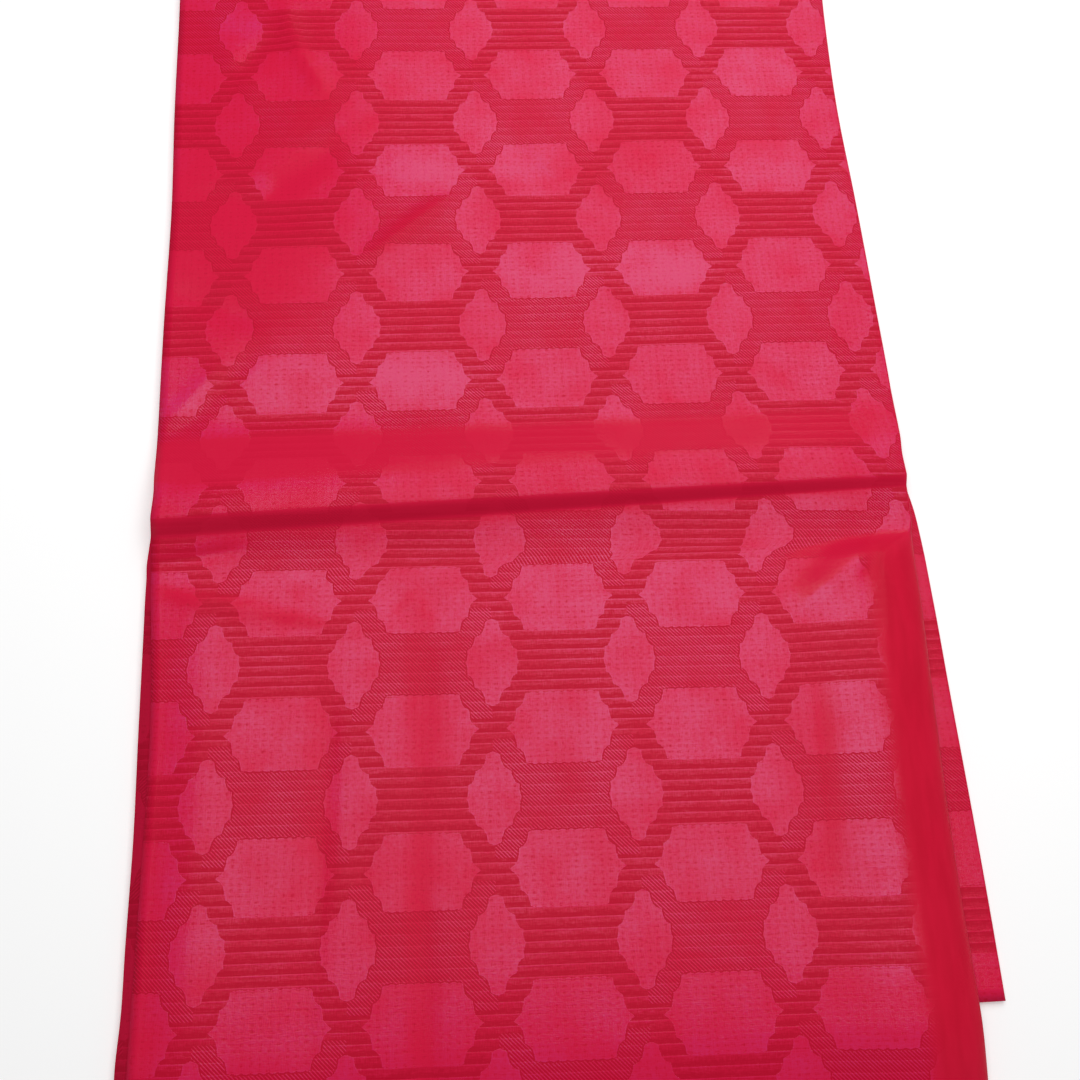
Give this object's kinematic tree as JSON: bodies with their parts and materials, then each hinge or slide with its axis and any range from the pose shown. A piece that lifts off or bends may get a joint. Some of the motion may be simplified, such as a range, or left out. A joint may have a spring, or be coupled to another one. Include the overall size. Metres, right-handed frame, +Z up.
{
  "type": "folded damask cloth length",
  "caption": "Length of patterned damask cloth, doubled lengthwise and folded over crosswise, lying flat with a raised storage crease and a soft rolled fold.",
  "frame": {"origin": "middle of the footprint, on the surface the cloth lies on", "axes": "+Z up, +Y along the strip from the near cut end to the far fold, +X across the strip towards the rolled fold"},
  "size_m": [0.4125, 0.6616, 0.0203],
  "materials": {
    "damask": "red woven damask, glossy ground with matte hexagon and lozenge figures"
  },
  "bodies": {
    "root": {"folded_cloth": "damask"}
  },
  "joints": []
}
